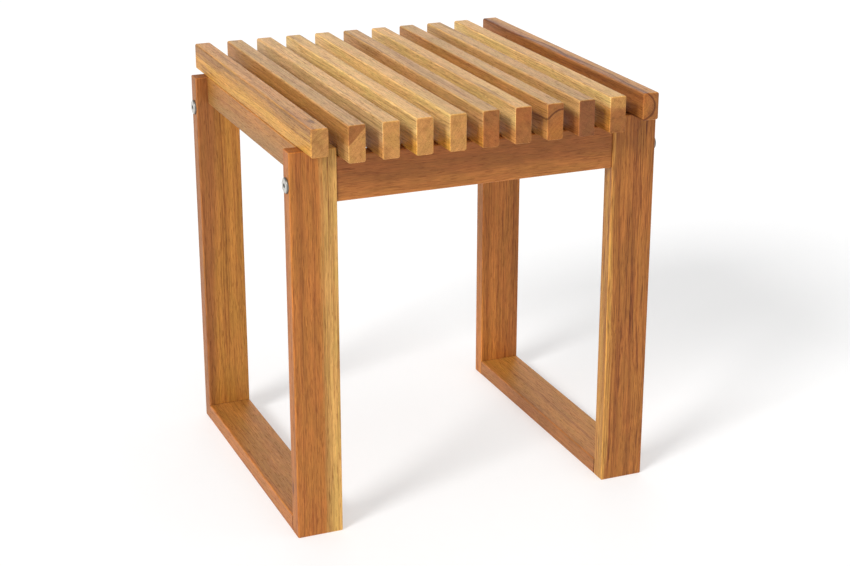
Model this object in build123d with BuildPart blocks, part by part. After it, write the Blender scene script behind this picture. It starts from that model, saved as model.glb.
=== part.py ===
from build123d import *
import os

# Slatted wooden shower stool.
#
# It is three glued frames, bolted together.  Each side frame is two legs, a bottom rail, a top
# rail and the outer slat that lies along it.  The seat frame is a front and a back apron with
# nine inner slats standing on them.  One bolt goes through each leg into a cross-dowel nut near
# the apron's end, and a small dowel beside it stops the apron turning.  Nothing moves.
#
# Frame: origin on the floor under the middle of the seat, +X to the right along the aprons,
# +Y to the back along the slats, +Z up.  Millimetres.
#
# In the functions below, side is left or right and end is front or back, as the sign of X or Y.

# ---------------------------------------------------------------- driving dimensions

seat_height = 450.0
frame_width = 408.0  # over the outer faces of the legs
frame_depth = 346.0  # over the front and back faces of the legs
stock = 18.5  # thickness of the boards that everything is cut from

leg_width = 50.0
top_rail_height = 31.0
outer_slat_height = 29.0
inner_slat_height = 38.5

slat_length = 402.0
slat_pitch = 35.7  # middle to middle of the inner slats
inner_slat_count = 9
outer_slat_x = 181.0  # middle of the outer slats and of the top rails under them

apron_height = 47.0
apron_setback = 2.2  # its outer face lies this far behind the legs' outer faces

leg_edge_radius = 1.6
leg_end_radius = 1.2
rail_edge_radius = 1.6
slat_edge_radius = 2.2
slat_end_radius = 1.4

# bolts and their cross-dowel nuts
bolt_diameter = 6.0
bolt_length = 70.0
bolt_tip_chamfer = 0.8
bolt_head_diameter = 16.4
bolt_head_height = 2.3
bolt_head_dome_radius = 1.7
bolt_socket_flats = 4.0
bolt_socket_depth = 3.4
bolt_hole_diameter = 7.0
bolt_tip_room = 2.0
bolt_drop = 2.5  # below the middle of the apron

nut_diameter = 10.0
nut_length = 10.0
nut_inset = 14.0  # middle of the nut behind the end of the apron
nut_thread_diameter = 6.1
nut_slot_width = 1.6
nut_slot_depth = 1.4

# dowels
small_dowel_diameter = 6.0
large_dowel_diameter = 8.0
dowel_length = 30.0
dowel_chamfer = 0.8
dowel_play = 0.05  # a dowel's hole is this much wider all round
dowel_end_room = 0.5  # and this much deeper

apron_dowel_in_leg = 15.0
apron_dowel_drop = 13.0  # below the bolt
rail_dowel_in_leg = 12.0
bottom_dowel_spacing = 26.0
top_dowel_spacing = 16.0
inner_dowel_in_apron = 12.0
outer_dowel_in_rail = 15.0
outer_dowel_spacing = 120.0

# ---------------------------------------------------------------- derived places

left, right = -1, 1
front, back = -1, 1
side_names = {left: "left", right: "right"}
end_names = {front: "front", back: "back"}
corners = [(side, end) for side in (left, right) for end in (front, back)]

leg_height = seat_height - outer_slat_height
apron_top = seat_height - inner_slat_height
rail_length = frame_depth - 2 * stock
apron_length = frame_width - 2 * leg_width

leg_x = (frame_width - leg_width) / 2
leg_y = (frame_depth - stock) / 2
leg_inner_x = frame_width / 2 - leg_width
leg_inner_y = frame_depth / 2 - stock
apron_z = apron_top - apron_height / 2
apron_inner_y = frame_depth / 2 - apron_setback - stock
apron_y = apron_inner_y + stock / 2
bolt_z = apron_z - bolt_drop
top_rail_z = leg_height - top_rail_height / 2
nut_x = apron_length / 2 - nut_inset
nut_sunk = leg_y - apron_inner_y  # middle of the nut below the apron's inner face

inner_slat_reach = slat_pitch * (inner_slat_count - 1) / 2
inner_slat_xs = [slat_pitch * i - inner_slat_reach for i in range(inner_slat_count)]
outer_dowel_ys = (-outer_dowel_spacing, 0, outer_dowel_spacing)

os.makedirs("parts", exist_ok=True)


def save(piece, name):
    """Labels a finished piece and writes it to a file of its own."""
    piece.part.label = name
    export_step(piece.part, f"parts/{name}.step")


# ---------------------------------------------------------------- joint faces
# A seat is a plane with its origin in the mouth of a hole and its Z pointing out of the hole.


def bolt_seat(side, end):
    """On the leg's outer face."""
    return Plane(origin=(side * frame_width / 2, end * leg_y, bolt_z), z_dir=(side, 0, 0))


def apron_end_seat(side, end):
    """The bolt's hole in the end of the apron."""
    return Plane(origin=(side * leg_inner_x, end * leg_y, bolt_z), z_dir=(side, 0, 0))


def nut_seat(side, end):
    """The nut's hole in the face of the apron that is under the seat."""
    y = end * apron_inner_y
    return Plane(origin=(side * nut_x, y, bolt_z), x_dir=(1, 0, 0), z_dir=(0, -end, 0))


def apron_dowel_seat(side, end):
    """In the leg's inner face, below the bolt."""
    z = bolt_z - apron_dowel_drop
    return Plane(origin=(side * leg_inner_x, end * leg_y, z), z_dir=(-side, 0, 0))


def bottom_dowel_seats(side, end):
    """Side by side in the face of the leg that the bottom rail butts against."""
    xs = [side * leg_x + dx for dx in (-bottom_dowel_spacing / 2, bottom_dowel_spacing / 2)]
    return [Plane(origin=(x, end * leg_inner_y, stock / 2), z_dir=(0, -end, 0)) for x in xs]


def top_dowel_seats(side, end):
    """One above the other in the face of the leg that the top rail butts against."""
    x = side * outer_slat_x
    zs = [top_rail_z + dz for dz in (-top_dowel_spacing / 2, top_dowel_spacing / 2)]
    return [Plane(origin=(x, end * leg_inner_y, z), z_dir=(0, -end, 0)) for z in zs]


def inner_slat_seat(x, end):
    """In the top of the apron, under the middle of an inner slat."""
    return Plane(origin=(x, end * leg_y, apron_top), z_dir=(0, 0, 1))


def outer_slat_seats(side):
    """In the top of the top rail, under the outer slat."""
    return [Plane(origin=(side * outer_slat_x, y, leg_height), z_dir=(0, 0, 1)) for y in outer_dowel_ys]


def other_side(seats):
    """The mouths of the same dowels' holes in the piece across the joint."""
    return [Plane(origin=seat.origin, z_dir=-seat.z_dir) for seat in seats]


def drill_dowel_holes(seats, diameter, depth):
    """Blind holes for dowels that go depth deep, in the part that is being built."""
    with Locations(*seats):
        Hole(radius=diameter / 2 + dowel_play, depth=depth + dowel_end_room)


# ---------------------------------------------------------------- side frames


def make_leg(side, end):
    """An upright board with its wide face to the front, standing on its end grain."""
    with BuildPart() as leg:
        with BuildSketch(Plane.XY):
            with Locations((side * leg_x, end * leg_y)):
                Rectangle(leg_width, stock)
        extrude(amount=leg_height)
        fillet(leg.edges().filter_by(Axis.Z), radius=leg_edge_radius)
        fillet(leg.faces().sort_by(Axis.Z)[-1].edges(), radius=leg_end_radius)
        fillet(leg.faces().sort_by(Axis.Z)[0].edges(), radius=leg_end_radius)
        with Locations(bolt_seat(side, end)):
            Hole(radius=bolt_hole_diameter / 2, depth=leg_width)
        drill_dowel_holes([apron_dowel_seat(side, end)], small_dowel_diameter, apron_dowel_in_leg)
        drill_dowel_holes(bottom_dowel_seats(side, end), large_dowel_diameter, rail_dowel_in_leg)
        drill_dowel_holes(top_dowel_seats(side, end), large_dowel_diameter, rail_dowel_in_leg)
    save(leg, f"{side_names[side]}_{end_names[end]}_leg")


def make_bottom_rail(side):
    """A flat board on the floor between the two legs, as wide as they are."""
    seats = bottom_dowel_seats(side, front) + bottom_dowel_seats(side, back)
    with BuildPart() as rail:
        with BuildSketch(Plane.XZ):
            with Locations((side * leg_x, stock / 2)):
                Rectangle(leg_width, stock)
        extrude(amount=rail_length / 2, both=True)
        fillet(rail.edges().filter_by(Axis.Y), radius=rail_edge_radius)
        drill_dowel_holes(other_side(seats), large_dowel_diameter, dowel_length - rail_dowel_in_leg)
    save(rail, f"{side_names[side]}_bottom_rail")


def make_top_rail(side):
    """A board on edge between the two legs, level with their tops, that carries the outer slat."""
    seats = top_dowel_seats(side, front) + top_dowel_seats(side, back)
    with BuildPart() as rail:
        with BuildSketch(Plane.XZ):
            with Locations((side * outer_slat_x, top_rail_z)):
                Rectangle(stock, top_rail_height)
        extrude(amount=rail_length / 2, both=True)
        fillet(rail.edges().filter_by(Axis.Y), radius=rail_edge_radius)
        drill_dowel_holes(other_side(seats), large_dowel_diameter, dowel_length - rail_dowel_in_leg)
        drill_dowel_holes(outer_slat_seats(side), large_dowel_diameter, outer_dowel_in_rail)
    save(rail, f"{side_names[side]}_top_rail")


for side, end in corners:
    make_leg(side, end)
for side in (left, right):
    make_bottom_rail(side)
    make_top_rail(side)


# ---------------------------------------------------------------- seat frame


def make_apron(end):
    """A board on edge between the left and right legs, with the inner slats on its top."""
    with BuildPart() as apron:
        with BuildSketch(Plane.YZ):
            with Locations((end * apron_y, apron_z)):
                Rectangle(stock, apron_height)
        extrude(amount=apron_length / 2, both=True)
        fillet(apron.edges().filter_by(Axis.X), radius=rail_edge_radius)
        with Locations(apron_end_seat(left, end), apron_end_seat(right, end)):
            Hole(radius=bolt_hole_diameter / 2, depth=bolt_length - leg_width + bolt_tip_room)
        with Locations(nut_seat(left, end), nut_seat(right, end)):
            Hole(radius=nut_diameter / 2 + dowel_play, depth=nut_sunk + nut_length / 2)
        drill_dowel_holes(
            other_side([apron_dowel_seat(left, end), apron_dowel_seat(right, end)]),
            small_dowel_diameter,
            dowel_length - apron_dowel_in_leg,
        )
        drill_dowel_holes(
            [inner_slat_seat(x, end) for x in inner_slat_xs], large_dowel_diameter, inner_dowel_in_apron
        )
    save(apron, f"{end_names[end]}_apron")


def make_slat(number, x, height, seats, dowel_depth):
    """A board on edge along Y with all its edges rounded, doweled from below."""
    with BuildPart() as slat:
        with BuildSketch(Plane.XZ):
            with Locations((x, seat_height - height / 2)):
                Rectangle(stock, height)
        extrude(amount=slat_length / 2, both=True)
        fillet(slat.edges().filter_by(Axis.Y), radius=slat_edge_radius)
        fillet(slat.faces().sort_by(Axis.Y)[0].edges(), radius=slat_end_radius)
        fillet(slat.faces().sort_by(Axis.Y)[-1].edges(), radius=slat_end_radius)
        drill_dowel_holes(other_side(seats), large_dowel_diameter, dowel_depth)
    save(slat, f"slat_{number:02d}")


for end in (front, back):
    make_apron(end)

# The slats are numbered from the left; the first and last are the outer ones.
outer_dowel_depth = dowel_length - outer_dowel_in_rail
inner_dowel_depth = dowel_length - inner_dowel_in_apron
make_slat(1, -outer_slat_x, outer_slat_height, outer_slat_seats(left), outer_dowel_depth)
for number, x in enumerate(inner_slat_xs, start=2):
    seats = [inner_slat_seat(x, front), inner_slat_seat(x, back)]
    make_slat(number, x, inner_slat_height, seats, inner_dowel_depth)
make_slat(inner_slat_count + 2, outer_slat_x, outer_slat_height, outer_slat_seats(right), outer_dowel_depth)


# ---------------------------------------------------------------- bolts and nuts

# One bolt, its head up and its shank down -Z from the origin
with BuildPart() as bolt:
    with BuildSketch(Plane.XY):
        Circle(bolt_head_diameter / 2)
    extrude(amount=bolt_head_height)
    fillet(bolt.faces().sort_by(Axis.Z)[-1].edges(), radius=bolt_head_dome_radius)
    with BuildSketch(Plane.XY):
        Circle(bolt_diameter / 2)
    extrude(amount=-bolt_length)
    chamfer(bolt.faces().sort_by(Axis.Z)[0].edges(), length=bolt_tip_chamfer)
    with BuildSketch(Plane.XY.offset(bolt_head_height)):
        RegularPolygon(radius=bolt_socket_flats / 2, side_count=6, major_radius=False)
    extrude(amount=-bolt_socket_depth, mode=Mode.SUBTRACT)

with BuildPart() as frame_bolts:
    with Locations(*[bolt_seat(side, end) for side, end in corners]):
        add(bolt.part)
save(frame_bolts, "frame_bolts")

# One nut, its own axis on Z, threaded along X, with a screwdriver slot in its top
with BuildPart() as nut:
    with BuildSketch(Plane.XY):
        Circle(nut_diameter / 2)
    extrude(amount=nut_length / 2, both=True)
    with BuildSketch(Plane.YZ):
        Circle(nut_thread_diameter / 2)
    extrude(amount=nut_diameter, both=True, mode=Mode.SUBTRACT)
    with BuildSketch(Plane.XY.offset(nut_length / 2)):
        Rectangle(nut_diameter, nut_slot_width)
    extrude(amount=-nut_slot_depth, mode=Mode.SUBTRACT)

with BuildPart() as barrel_nuts:
    with Locations(*[nut_seat(side, end).offset(-nut_sunk) for side, end in corners]):
        add(nut.part)
save(barrel_nuts, "barrel_nuts")


# ---------------------------------------------------------------- dowels


def make_dowels(name, seats, diameter, sunk):
    """A set of glued wooden dowels, each sunk this deep in the piece that its seat is on."""
    with BuildPart() as dowels:
        for seat in seats:
            with BuildSketch(seat.offset(-sunk)):
                Circle(diameter / 2)
            extrude(amount=dowel_length)
        chamfer(dowels.edges().filter_by(GeomType.CIRCLE), length=dowel_chamfer)
    save(dowels, name)


apron_seats = [apron_dowel_seat(side, end) for side, end in corners]
bottom_seats = [seat for side, end in corners for seat in bottom_dowel_seats(side, end)]
top_seats = [seat for side, end in corners for seat in top_dowel_seats(side, end)]
inner_seats = [inner_slat_seat(x, end) for x in inner_slat_xs for end in (front, back)]
outer_seats = outer_slat_seats(left) + outer_slat_seats(right)

make_dowels("apron_dowels", apron_seats, small_dowel_diameter, apron_dowel_in_leg)
make_dowels("bottom_rail_dowels", bottom_seats, large_dowel_diameter, rail_dowel_in_leg)
make_dowels("top_rail_dowels", top_seats, large_dowel_diameter, rail_dowel_in_leg)
make_dowels("inner_slat_dowels", inner_seats, large_dowel_diameter, inner_dowel_in_apron)
make_dowels("outer_slat_dowels", outer_seats, large_dowel_diameter, outer_dowel_in_rail)
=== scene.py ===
import math
from collections import namedtuple

import bpy
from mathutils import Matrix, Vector


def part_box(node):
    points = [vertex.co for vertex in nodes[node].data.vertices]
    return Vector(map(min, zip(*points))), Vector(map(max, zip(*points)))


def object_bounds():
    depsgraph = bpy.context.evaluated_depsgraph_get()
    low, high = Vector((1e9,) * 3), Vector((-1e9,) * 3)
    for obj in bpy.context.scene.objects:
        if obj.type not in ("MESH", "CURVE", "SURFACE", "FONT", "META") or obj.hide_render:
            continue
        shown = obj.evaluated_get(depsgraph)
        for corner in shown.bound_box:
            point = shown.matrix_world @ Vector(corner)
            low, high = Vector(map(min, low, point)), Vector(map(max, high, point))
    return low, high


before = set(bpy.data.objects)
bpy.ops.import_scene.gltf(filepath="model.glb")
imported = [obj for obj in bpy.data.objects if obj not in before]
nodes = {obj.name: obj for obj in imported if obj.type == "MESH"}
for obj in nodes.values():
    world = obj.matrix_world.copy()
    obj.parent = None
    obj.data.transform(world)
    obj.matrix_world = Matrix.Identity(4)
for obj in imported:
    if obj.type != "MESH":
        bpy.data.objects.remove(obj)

cad_low, cad_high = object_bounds()
centre = (cad_low + cad_high) / 2

MM = 1000.0  # shader lengths are in millimetres, Blender's are in metres


# ---------------------------------------------------------------- colours


def linear(hex_code):
    """A colour as seen on a screen, such as b9804a, as the linear colour that shaders take."""
    parts = [int(hex_code[i:i + 2], 16) / 255 for i in (0, 2, 4)]
    return (*[p / 12.92 if p <= 0.04045 else ((p + 0.055) / 1.055) ** 2.4 for p in parts], 1.0)


# tones of the boards, roughly from pale to dark
WHEAT = linear("dbb675")
SAND = linear("d2a463")
BRASS = linear("cd9d56")
GOLD = linear("c9923e")
FAWN = linear("c8a36f")
TAN = linear("be9259")
ALMOND = linear("b98c56")
CARAMEL = linear("bf884a")
OCHRE = linear("b6833f")
TOFFEE = linear("b68247")
HONEY = linear("b57a34")
RUSSET = linear("bb7634")
SIENNA = linear("b06f33")
BRONZE = linear("aa7234")
COCOA = linear("9b6e3a")
AMBER = linear("ac6a2d")
RUST = linear("a6672c")
BRICK = linear("a0602c")
CHESTNUT = linear("9a612f")
UMBER = linear("84502a")

# bare dowels
BIRCH = linear("c9a070")
MAPLE = linear("dcb98a")

# tints: what each kind of mark multiplies the wood's colour by
COOL_PATCH, WARM_PATCH = (0.95, 0.98, 0.91), (1.06, 1.02, 1.04)
DARK_BAND, LIGHT_BAND = (0.62, 0.50, 0.42), (1.22, 1.26, 1.20)
DARK_LINE, LIGHT_LINE = (0.58, 0.44, 0.34), (1.22, 1.25, 1.20)
DARK_VEIN = (0.55, 0.42, 0.34)
DARK_FLAME = (0.52, 0.42, 0.36)
DARK_RING = (0.60, 0.46, 0.38)
MARKED_RING = (0.38, 0.26, 0.18)
DARK_PORE = (0.52, 0.40, 0.32)
KNOT_HALO, KNOT_CORE = (0.66, 0.56, 0.50), (0.42, 0.36, 0.32)
# of the next two tints, the paler edges are partly wear and partly a painted highlight, and the darker
# seams partly oil and partly painted shade in the joint line
WEAR_AND_HIGHLIGHT_EDGE = (1.40, 1.40, 1.33)
SEAM_OIL_AND_SHADE = (0.34, 0.26, 0.22)
OILED_END = (0.80, 0.74, 0.66)


# ---------------------------------------------------------------- shader graphs

MIX_FACTOR, MIX_FIRST, MIX_SECOND, MIX_RESULT = 0, 6, 7, 2  # the Mix node's sockets for colours


class Graph:
    """A material's node graph, written as one call per step. Every step gives an output socket."""

    def __init__(self, name):
        self.material = bpy.data.materials.new(name)
        self.material.use_nodes = True
        self.tree = self.material.node_tree
        self.shader = self.tree.nodes["Principled BSDF"]

    def plug(self, socket, value):
        """Links an output socket to socket, or sets a fixed value, with alpha 1 where it takes one."""
        if isinstance(value, bpy.types.NodeSocket):
            self.tree.links.new(value, socket)
        elif isinstance(value, (tuple, list, Vector)) and len(value) != len(socket.default_value):
            socket.default_value = (*value, 1.0)[:len(socket.default_value)]
        else:
            socket.default_value = value

    def plug_all(self, sockets, values):
        for socket, value in zip(sockets, values):
            self.plug(socket, value)

    def math(self, operation, *values, clamp=False):
        node = self.tree.nodes.new("ShaderNodeMath")
        node.operation, node.use_clamp = operation, clamp
        self.plug_all(node.inputs, values)
        return node.outputs[0]

    def add(self, first, second):
        return self.math("ADD", first, second)

    def minus(self, first, second):
        return self.math("SUBTRACT", first, second)

    def times(self, first, second):
        return self.math("MULTIPLY", first, second)

    def size(self, value):
        return self.math("ABSOLUTE", value)

    def vector(self, operation, *values):
        node = self.tree.nodes.new("ShaderNodeVectorMath")
        node.operation = operation
        self.plug_all(node.inputs, values)
        return node.outputs["Value" if operation == "LENGTH" else "Vector"]

    def combine(self, x, y, z):
        node = self.tree.nodes.new("ShaderNodeCombineXYZ")
        self.plug_all(node.inputs, (x, y, z))
        return node.outputs[0]

    def separate(self, vector):
        node = self.tree.nodes.new("ShaderNodeSeparateXYZ")
        self.plug(node.inputs[0], vector)
        return node.outputs

    def coordinate(self, kind):
        return self.tree.nodes.new("ShaderNodeTexCoord").outputs[kind]

    def millimetres(self):
        """The place on the object, in millimetres."""
        return self.vector("MULTIPLY", self.coordinate("Object"), (MM, MM, MM))

    def noise(self, vector, scale, detail=2.0, roughness=0.5, distortion=0.0):
        """Noise from 0 to 1, with its middle at 0.5. scale is three numbers, in steps per unit."""
        node = self.tree.nodes.new("ShaderNodeTexNoise")
        self.plug(node.inputs["Vector"], self.vector("MULTIPLY", vector, scale))
        node.inputs["Scale"].default_value = 1.0
        node.inputs["Detail"].default_value = detail
        node.inputs["Roughness"].default_value = roughness
        node.inputs["Distortion"].default_value = distortion
        return node.outputs[0]

    def fibres(self, vector, across, along, detail=2.0, roughness=0.5):
        """Noise drawn out along a board. across and along are in steps per millimetre.

        vector is a place in the log, in millimetres, with the way along the board last.
        """
        return self.noise(vector, (across, across, along), detail, roughness)

    def blend(self, factor, first, second, kind="MIX"):
        node = self.tree.nodes.new("ShaderNodeMix")
        node.data_type, node.blend_type = "RGBA", kind
        self.plug(node.inputs[MIX_FACTOR], factor)
        self.plug(node.inputs[MIX_FIRST], first)
        self.plug(node.inputs[MIX_SECOND], second)
        return node.outputs[MIX_RESULT]

    def tint(self, colour, share, tint):
        """colour with a share, from 0 to 1, of the way to colour times tint."""
        return self.blend(share, colour, tint, "MULTIPLY")

    def span(self, value, low, high, start=0.0, end=1.0):
        """value eased from start at low to end at high, and level beyond them."""
        node = self.tree.nodes.new("ShaderNodeMapRange")
        node.interpolation_type = "SMOOTHSTEP"
        self.plug_all(node.inputs, (value, low, high, start, end))
        return node.outputs[0]

    def bump(self, height, distance, strength):
        node = self.tree.nodes.new("ShaderNodeBump")
        node.inputs["Strength"].default_value = strength
        node.inputs["Distance"].default_value = distance
        self.plug(node.inputs["Height"], height)
        return node.outputs[0]

    def set(self, **inputs):
        for name, value in inputs.items():
            self.plug(self.shader.inputs[name.replace("_", " ")], value)


# ---------------------------------------------------------------- wood
# A board is cut from a log: its colour is worked out in three dimensions from its place in that
# log, so the streaks on its faces run into the arcs on its ends.

Board = namedtuple(
    "Board", "along faces seed ends top turn place slant blur pith rings mark streaks flames",
    defaults=(None, None, 0, 0.0, 0.0, 10, (60, 60), 0.4, 0, 0.8, 0.2),
)
# along   the row axis that the board's length lies on
# faces   colours on the two sides of the board's change of tone
# seed    which stretch of the noise the board is cut from
# ends    the two colours on its end grain, or None for darker face colours
# top     colour of its upper face, where sun and sanding have changed it
# turn    direction of the change of tone across the section, in degrees from its first cross axis
# place   where it changes, as a share of the half section
# slant   how far that drifts by the far end of the board, as the same share
# blur    how gradual it is, in millimetres
# pith    where the log's middle was, in millimetres from the middle of the board's section
# rings   how strongly the growth rings show
# mark    the radius of one dark ring in millimetres, or 0
# streaks how strongly the long streaks show
# flames  how strongly the darker flame marks show


def slat(faces, seed, ends, top, turn=90, **more):
    """A seat slat, which changes tone from its underside to its top unless turn says otherwise; on some
    slats that change is painted shade and light in the gaps.
    """
    return Board("Y", faces, seed, ends, top, turn, **more)


BOARDS = {
    "left_front_leg": Board("Z", (AMBER, BRASS), 1, place=0.30, blur=8, pith=(-55, 62)),
    "left_back_leg": Board("Z", (CHESTNUT, HONEY), 2, place=-0.38, slant=0.40, blur=12, pith=(70, 48)),
    "right_front_leg": Board(
        "Z", (OCHRE, RUST), 3, place=-0.86, blur=9, pith=(48, -75), streaks=1.2, flames=1.0
    ),
    "right_back_leg": Board("Z", (RUSSET, AMBER), 4, place=0.4, blur=20, pith=(-80, -42), flames=0.5),
    "left_bottom_rail": Board("Y", (AMBER, BRONZE), 5, place=-0.8, blur=8, pith=(30, -90), streaks=0.6),
    "right_bottom_rail": Board(
        "Y", (CHESTNUT, HONEY), 6, place=-0.9, blur=5, pith=(-40, 80), streaks=0.6
    ),
    "left_top_rail": Board("Y", (COCOA, BRONZE), 7, turn=90, blur=14, pith=(60, 30), streaks=0.6),
    "right_top_rail": Board("Y", (HONEY, GOLD), 8, turn=90, blur=14, pith=(-60, 50), streaks=0.6),
    # the front apron is darker towards its top: painted shade under the slats' overhang
    "front_apron": Board(
        "X", (SIENNA, BRICK), 9, turn=90, place=-0.4, blur=20, pith=(70, -50), streaks=0.3
    ),
    "back_apron": Board("X", (AMBER, CHESTNUT), 10, turn=90, blur=24, pith=(-70, 60), streaks=0.5),
    "slat_01": slat(
        (GOLD, COCOA), 11, (TOFFEE, TOFFEE), CARAMEL, place=0.25, blur=14, pith=(26, -38), rings=0.6
    ),
    "slat_02": slat(
        (TOFFEE, ALMOND), 12, (CHESTNUT, CARAMEL), TAN, turn=-47, place=-0.28, blur=1.5, pith=(-62, 55)
    ),
    # slats 03, 04, 05, 07 and 10: the darker tone low on their sides is painted shade in the gaps between
    # the slats, and the pale tone above is partly painted light where the light reaches into the gaps
    "slat_03": slat((TOFFEE, FAWN), 13, (CARAMEL, CARAMEL), SAND, place=-0.1, blur=16, pith=(64, 48)),
    "slat_04": slat((GOLD, WHEAT), 14, (CARAMEL, CARAMEL), SAND, place=-0.1, blur=16, pith=(75, -55)),
    "slat_05": slat((GOLD, WHEAT), 15, (CARAMEL, CARAMEL), SAND, place=-0.1, blur=16, pith=(-80, 45)),
    "slat_06": slat((HONEY, ALMOND), 16, (BRICK, CHESTNUT), TAN, place=0.2, blur=10, pith=(55, 64)),
    "slat_07": slat((CARAMEL, WHEAT), 17, (CHESTNUT, BRICK), SAND, place=-0.1, blur=14, pith=(-58, -60)),
    "slat_08": slat(
        (TOFFEE, TOFFEE), 18, (CHESTNUT, RUST), TAN, turn=-53, blur=12, pith=(18, -24), rings=0.6, mark=36
    ),
    "slat_09": slat((CHESTNUT, TAN), 19, (UMBER, UMBER), TAN, place=0.2, blur=10, pith=(50, 70)),
    "slat_10": slat((HONEY, WHEAT), 20, (CHESTNUT, CARAMEL), SAND, place=0.35, blur=9, pith=(-66, 52)),
    "slat_11": slat(
        (CHESTNUT, CARAMEL), 21, (AMBER, CHESTNUT), None,
        turn=0, place=-0.25, blur=7, pith=(-10.4, 0), rings=0.8, mark=15.4,
    ),
}

Knot = namedtuple("Knot", "place radius")  # millimetres, from the board's middle along X, Y and Z
KNOTS = {
    "slat_01": Knot((0.5, -172, 14), 3.2),
    "left_front_leg": Knot((-25, 4, -158), 3.0),
}

AXES = "XYZ"
SEED_STEP = Vector((137.0, 291.0, 613.0))  # millimetres between one board's wood and the next's
SECOND_SWAY = Vector((900, 0, 0))  # these two shift a noise far enough to make it unrelated
VEIN_FIELD = Vector((500, 0, 0))

# millimetres by which the grain's wander moves each thing sideways, end to end of its range
GRAIN_SWAY = 7.0
RING_SWAY = 20.0
TONE_SWAY = 9.0
RING_RIPPLE = 2.4

RING_WIDTH = 4.2  # millimetres from one growth ring to the next
RING_UNEVENNESS = 2.2  # rings by which their spacing drifts
RING_DRIFT = 0.11  # how fast it drifts, in steps per millimetre
RING_SEED_STEP = 7.3  # from one board's drift to the next's
KNOT_STRETCH = 0.45  # how much shorter than across it a length along the board counts, round a knot
EDGE_WAVER = 1.8  # millimetres by which the pale edges, partly wear and partly a painted highlight, vary in width
GRAIN_RELIEF = 0.00012  # metres


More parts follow.
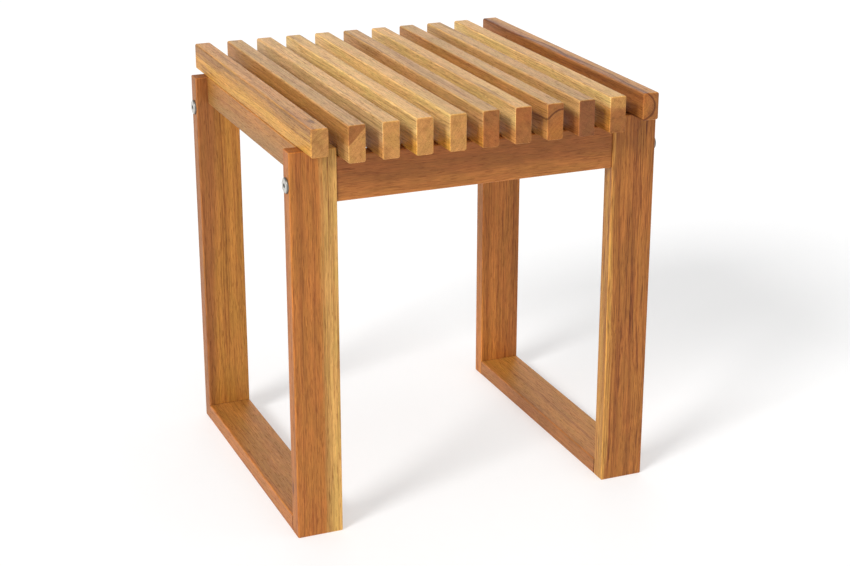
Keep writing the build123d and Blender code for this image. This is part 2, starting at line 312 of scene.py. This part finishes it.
def wood(name, board):
    """Oiled hardwood for one board."""
    g = Graph("wood_" + name)
    low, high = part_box(name)
    middle, half = (low + high) / 2 * MM, (high - low) / 2 * MM
    along = AXES.index(board.along)
    across = [i for i in range(3) if i != along]

    # place in the board: a and b across it, run along it, in millimetres from its middle
    here = g.separate(g.vector("SUBTRACT", g.millimetres(), middle))
    a, b, run = here[across[0]], here[across[1]], here[along]
    log = g.vector("ADD", g.combine(a, b, run), SEED_STEP * board.seed)
    normal = g.separate(g.coordinate("Normal"))
    end = g.span(g.size(normal[along]), 0.55, 0.9)
    not_end = g.minus(1.0, end)

    # slow wander of the grain along the board
    sway_a = g.minus(g.fibres(log, across=0.012, along=0.006), 0.5)
    sway_b = g.minus(g.fibres(g.vector("ADD", log, SECOND_SWAY), across=0.012, along=0.006), 0.5)
    ripple = g.minus(g.fibres(log, across=0.09, along=0.018), 0.5)
    drift = g.combine(g.times(sway_a, GRAIN_SWAY), g.times(sway_b, GRAIN_SWAY), 0.0)
    grain = g.vector("ADD", log, drift)

    # growth rings around the log's middle
    ring_a = g.add(g.minus(a, board.pith[0]), g.times(sway_a, RING_SWAY))
    ring_b = g.add(g.minus(b, board.pith[1]), g.times(sway_b, RING_SWAY))
    radius = g.vector("LENGTH", g.combine(ring_a, ring_b, 0.0))
    radius = g.add(radius, g.times(ripple, RING_RIPPLE))
    drift_place = g.combine(g.times(radius, RING_DRIFT), board.seed * RING_SEED_STEP, 0.0)
    uneven = g.noise(drift_place, (1, 1, 1))
    turns = g.add(g.math("DIVIDE", radius, RING_WIDTH), g.times(uneven, RING_UNEVENNESS))
    ring_phase = g.math("FRACT", turns)
    late = g.times(g.span(ring_phase, 0.35, 0.93), g.span(ring_phase, 0.93, 1.0, 1.0, 0.0))

    # bands, lines, hairs and pores run with the grain; mottle and flames are patches along it
    band = g.fibres(grain, across=0.13, along=0.0024)
    line = g.fibres(grain, across=0.80, along=0.0040, detail=4.0, roughness=0.66)
    vein = g.minus(g.fibres(g.vector("ADD", grain, VEIN_FIELD), across=0.30, along=0.0016), 0.5)
    vein = g.span(g.size(vein), 0.004, 0.022, 1.0, 0.0)
    hair = g.fibres(grain, across=2.4, along=0.060, detail=3.0, roughness=0.70)
    mottle = g.fibres(grain, across=0.10, along=0.020, detail=3.0, roughness=0.55)
    flame = g.fibres(grain, across=0.24, along=0.013, detail=3.0, roughness=0.6)
    pore = g.span(g.fibres(grain, across=1.2, along=0.085, detail=1.0), 0.60, 0.68)

    # the board's change of tone
    angle = math.radians(board.turn)
    direction = Vector((math.cos(angle), math.sin(angle)))
    reach = abs(direction[0]) * half[across[0]] + abs(direction[1]) * half[across[1]]
    side = g.add(g.times(a, direction[0]), g.times(b, direction[1]))
    side = g.add(side, g.times(sway_a, TONE_SWAY))
    side = g.add(side, g.times(g.minus(line, 0.5), board.blur * 1.5))
    side = g.minus(side, g.times(run, board.slant * reach / half[along]))
    shift = board.place * reach
    tone = g.span(side, shift - board.blur / 2, shift + board.blur / 2)
    colour = g.blend(tone, *board.faces)
    if board.top:
        colour = g.blend(g.span(normal[2], 0.45, 0.9), colour, board.top)
    ends = board.ends or [[c * f for c, f in zip(face, OILED_END)] for face in board.faces]
    colour = g.blend(end, colour, g.blend(tone, *ends))

    # warm and cool patches, then darker and lighter streaks: each share, such as dark_band, is how
    # far the tint of the same name goes
    colour = g.tint(colour, 1.0, g.blend(g.span(mottle, 0.35, 0.65), COOL_PATCH, WARM_PATCH))
    dark_band = g.times(g.span(band, 0.50, 0.68), 0.50 * board.streaks)
    colour = g.tint(colour, dark_band, DARK_BAND)
    light_band = g.times(g.span(band, 0.48, 0.32), 0.45 * board.streaks)
    colour = g.tint(colour, light_band, LIGHT_BAND)
    lines = g.times(g.add(g.times(not_end, 0.75), 0.25), board.streaks)
    dark_line = g.times(g.span(line, 0.53, 0.63), g.times(lines, 0.95))
    colour = g.tint(colour, dark_line, DARK_LINE)
    dark_vein = g.times(g.times(vein, g.span(band, 0.40, 0.60, 0.0, 0.75)), lines)
    colour = g.tint(colour, dark_vein, DARK_VEIN)
    light_line = g.times(g.span(line, 0.47, 0.36), g.times(lines, 0.6))
    colour = g.tint(colour, light_line, LIGHT_LINE)
    dark_flame = g.times(g.span(flame, 0.56, 0.70), g.times(not_end, board.flames))
    colour = g.tint(colour, dark_flame, DARK_FLAME)
    dark_ring = g.times(late, g.add(0.22 * board.rings, g.times(end, 0.3 * board.rings)))
    colour = g.tint(colour, dark_ring, DARK_RING)
    if board.mark:
        marked = g.span(g.size(g.minus(radius, board.mark)), 0.5, 1.5, 0.85, 0.0)
        colour = g.tint(colour, marked, MARKED_RING)
    hair_gain = g.span(hair, 0.35, 0.65, 1.20, 0.80)
    colour = g.tint(colour, 1.0, g.combine(hair_gain, hair_gain, hair_gain))
    colour = g.tint(colour, g.times(pore, 0.6), DARK_PORE)

    if name in KNOTS:
        knot = KNOTS[name]
        off = g.vector("SUBTRACT", g.combine(*here), knot.place)
        squeeze = [1.0, 1.0, 1.0]
        squeeze[along] = KNOT_STRETCH
        off = g.vector("LENGTH", g.vector("MULTIPLY", off, squeeze))
        off = g.add(off, g.times(g.minus(mottle, 0.5), knot.radius * 2))
        halo = g.span(off, knot.radius * 0.8, knot.radius * 2.2, 0.55, 0.0)
        colour = g.tint(colour, halo, KNOT_HALO)
        core = g.span(off, knot.radius * 0.5, knot.radius * 1.1, 0.8, 0.0)
        colour = g.tint(colour, core, KNOT_CORE)

    # edges are a little paler, partly sanding wear and partly a painted highlight along them: an edge is
    # where the second smallest depth is near nothing
    depth = [g.minus(half[i], g.size(here[i])) for i in range(3)]
    near, far = g.math("MINIMUM", depth[0], depth[1]), g.math("MAXIMUM", depth[0], depth[1])
    edge_depth = g.math("MAXIMUM", near, g.math("MINIMUM", far, depth[2]))
    edge_noise = g.fibres(log, across=0.25, along=0.05)
    edge = g.span(g.minus(edge_depth, g.times(edge_noise, EDGE_WAVER)), -0.5, 0.7, 1.0, 0.0)
    colour = g.tint(colour, g.times(edge, 0.70), WEAR_AND_HIGHLIGHT_EDGE)

    # darker seams where rails and aprons meet the legs: partly oil in the joints, partly painted shade in
    # the joint line
    if name.endswith(("rail", "apron")):
        colour = g.tint(colour, g.span(depth[along], 0.2, 1.8, 0.85, 0.0), SEAM_OIL_AND_SHADE)

    rough = g.span(hair, 0.2, 0.8, 0.42, 0.56)
    rough = g.add(rough, g.times(pore, 0.15))
    rough = g.math("ADD", rough, g.times(end, 0.12), clamp=True)
    height = g.add(g.times(hair, 0.5), g.times(line, 0.6))
    height = g.minus(height, g.times(pore, 0.8))
    g.set(Base_Color=colour, Roughness=rough, Normal=g.bump(height, GRAIN_RELIEF, 0.6))
    g.set(Specular_IOR_Level=0.3)
    return g.material


# ---------------------------------------------------------------- metal and dowels

DULL_STEEL, BRIGHT_STEEL = (0.46, 0.44, 0.40), (0.62, 0.60, 0.56)
# the colour of the painted shade in the bolts' sockets and round the rims of their heads
SOCKET_AND_RIM_SHADE = (0.05, 0.042, 0.035)
SOCKET_RADII = 2.4, 3.0  # millimetres from the bolt's axis between which the painted shade in the socket ends
RIM_RADII = 7.4, 8.3  # and the painted shade round the head begins
SCRATCH_RELIEF = 0.00003  # metres


def plated_steel(name, bolt_y, bolt_z):
    """Bright plated steel with fine scratches, and painted shade in the bolts' sockets and round their
    heads.

    bolt_y and bolt_z are where the bolts' axes are, in millimetres, with y the same to front and back.
    """
    g = Graph(name)
    here = g.millimetres()
    cloud = g.noise(here, (0.35, 0.35, 0.35), 3.0)
    line = g.noise(here, (5.0, 0.9, 0.9), 3.0, 0.6)
    colour = g.blend(g.span(cloud, 0.3, 0.7), DULL_STEEL, BRIGHT_STEEL)
    _, y, z = g.separate(here)
    from_axis = g.combine(0.0, g.minus(g.size(y), bolt_y), g.minus(z, bolt_z))
    radius = g.add(g.vector("LENGTH", from_axis), g.times(cloud, 0.6))
    socket = g.span(radius, *SOCKET_RADII, 1.0, 0.0)
    rim = g.span(radius, *RIM_RADII)
    # painted shade: dark in the socket and round the head's rim
    painted_shade = g.math("MAXIMUM", g.times(socket, 0.92), g.times(rim, 0.7))
    colour = g.blend(painted_shade, colour, SOCKET_AND_RIM_SHADE)
    rough = g.add(g.span(line, 0.3, 0.7, 0.16, 0.28), g.times(painted_shade, 0.3))
    g.set(Base_Color=colour, Roughness=rough, Normal=g.bump(line, SCRATCH_RELIEF, 0.4), Metallic=1.0)
    return g.material


def dowel_wood(name):
    """Pale bare hardwood."""
    g = Graph(name)
    grain = g.noise(g.millimetres(), (0.9, 0.9, 0.9), 4.0, 0.6, 0.6)
    colour = g.blend(g.span(grain, 0.3, 0.7), BIRCH, MAPLE)
    rough = g.span(grain, 0.3, 0.7, 0.55, 0.7)
    g.set(Base_Color=colour, Roughness=rough, Normal=g.bump(grain, 0.0001, 0.4))
    return g.material


def dress(name, material):
    """Gives a CAD piece its material in place of the plain one it came with."""
    mesh = nodes[name].data
    mesh.materials.clear()
    mesh.materials.append(material)


for name, board in BOARDS.items():
    dress(name, wood(name, board))

bolt_low, bolt_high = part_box("frame_bolts")
head_radius = (bolt_high.z - bolt_low.z) / 2 * MM
bolt_y = bolt_high.y * MM - head_radius
bolt_z = (bolt_low.z + bolt_high.z) / 2 * MM
steel = plated_steel("plated_steel", bolt_y, bolt_z)
for name in ("frame_bolts", "barrel_nuts"):
    dress(name, steel)

dowels = dowel_wood("dowel_wood")
for joint in ("apron", "bottom_rail", "top_rail", "inner_slat", "outer_slat"):
    dress(joint + "_dowels", dowels)


# ---------------------------------------------------------------- stage

FLOOR_RADIUS = 24.0
COVE_HEIGHT = 4.2
COVE_STEPS = 12
ROUND_STEPS = 96
RING_SHARES = 0.1, 0.4, 0.7  # where the flat floor's inner rings are, as shares of its radius
FLOOR_SHADES = (0.60, 0.60, 0.60), (0.63, 0.63, 0.63)
FLOOR_GLOW = 0.40


def direction_from(azimuth, elevation):
    """The way from the stool to something, with azimuth in degrees from the front towards the left."""
    turn, rise = math.radians(azimuth), math.radians(elevation)
    return Vector((-math.sin(turn) * math.cos(rise), -math.cos(turn) * math.cos(rise), math.sin(rise)))


def make_floor():
    """A round floor that curves up into a low wall far behind the stool, so there is no horizon."""
    profile = [(FLOOR_RADIUS * share, 0.0) for share in RING_SHARES]
    for i in range(COVE_STEPS + 1):
        turn = math.pi / 2 * i / COVE_STEPS
        out, up = FLOOR_RADIUS - COVE_HEIGHT * (1 - math.sin(turn)), COVE_HEIGHT * (1 - math.cos(turn))
        profile.append((out, up))
    points = [(0.0, 0.0, cad_low.z)]
    for out, up in profile:
        for k in range(ROUND_STEPS):
            turn = 2 * math.pi * k / ROUND_STEPS
            points.append((out * math.cos(turn), out * math.sin(turn), cad_low.z + up))
    faces = [(0, 1 + k, 1 + (k + 1) % ROUND_STEPS) for k in range(ROUND_STEPS)]
    for i in range(len(profile) - 1):
        inner, outer = 1 + i * ROUND_STEPS, 1 + (i + 1) * ROUND_STEPS
        for k in range(ROUND_STEPS):
            step = (k + 1) % ROUND_STEPS
            faces.append((inner + k, outer + k, outer + step, inner + step))
    mesh = bpy.data.meshes.new("floor")
    mesh.from_pydata(points, [], faces)
    mesh.shade_smooth()
    floor = bpy.data.objects.new("floor", mesh)
    bpy.context.scene.collection.objects.link(floor)
    g = Graph("floor_paint")
    speckle = g.noise(g.coordinate("Object"), (60, 60, 60), 3.0)
    g.set(Base_Color=g.blend(speckle, *FLOOR_SHADES), Roughness=0.9, Specular_IOR_Level=0.1)
    g.set(Emission_Color=(1.0, 1.0, 1.0), Emission_Strength=FLOOR_GLOW)
    mesh.materials.append(g.material)


def make_soft_sun(name, azimuth, elevation, spread, strength):
    """Even soft light over the whole stage, with its azimuth from the front towards the left."""
    data = bpy.data.lights.new(name, "SUN")
    data.energy, data.angle = strength, math.radians(spread)
    light = bpy.data.objects.new(name, data)
    light.rotation_euler = direction_from(azimuth, elevation).to_track_quat("Z", "Y").to_euler()
    bpy.context.scene.collection.objects.link(light)


def make_world(strength):
    """Even white light from all round."""
    world = bpy.data.worlds.new("studio")
    world.use_nodes = True
    background = world.node_tree.nodes["Background"]
    background.inputs["Color"].default_value = (1.0, 1.0, 1.0, 1.0)
    background.inputs["Strength"].default_value = strength
    bpy.context.scene.world = world


CAMERA_AZIMUTH = 22.6  # degrees, from the front towards the left
CAMERA_ELEVATION = 20.2
CAMERA_DISTANCE = 2.065
CAMERA_LENS = 77.3
CAMERA_SENSOR = 36.0
CAMERA_AIM = Vector((0.007, -0.012, -0.023))  # from the middle of the stool


def make_camera():
    data = bpy.data.cameras.new("camera")
    data.lens, data.sensor_width = CAMERA_LENS, CAMERA_SENSOR
    camera = bpy.data.objects.new("camera", data)
    back = direction_from(CAMERA_AZIMUTH, CAMERA_ELEVATION)
    camera.location = centre + CAMERA_AIM + back * CAMERA_DISTANCE
    camera.rotation_euler = (-back).to_track_quat("-Z", "Y").to_euler()
    bpy.context.scene.collection.objects.link(camera)
    bpy.context.scene.camera = camera


bpy.context.scene.view_settings.view_transform = "Standard"
make_floor()
make_world(strength=0.43)
make_soft_sun("key_light", azimuth=62, elevation=33, spread=18, strength=2.35)
make_soft_sun("top_light", azimuth=0, elevation=80, spread=60, strength=0.48)
make_soft_sun("back_light", azimuth=200, elevation=24, spread=40, strength=0.4)
make_camera()
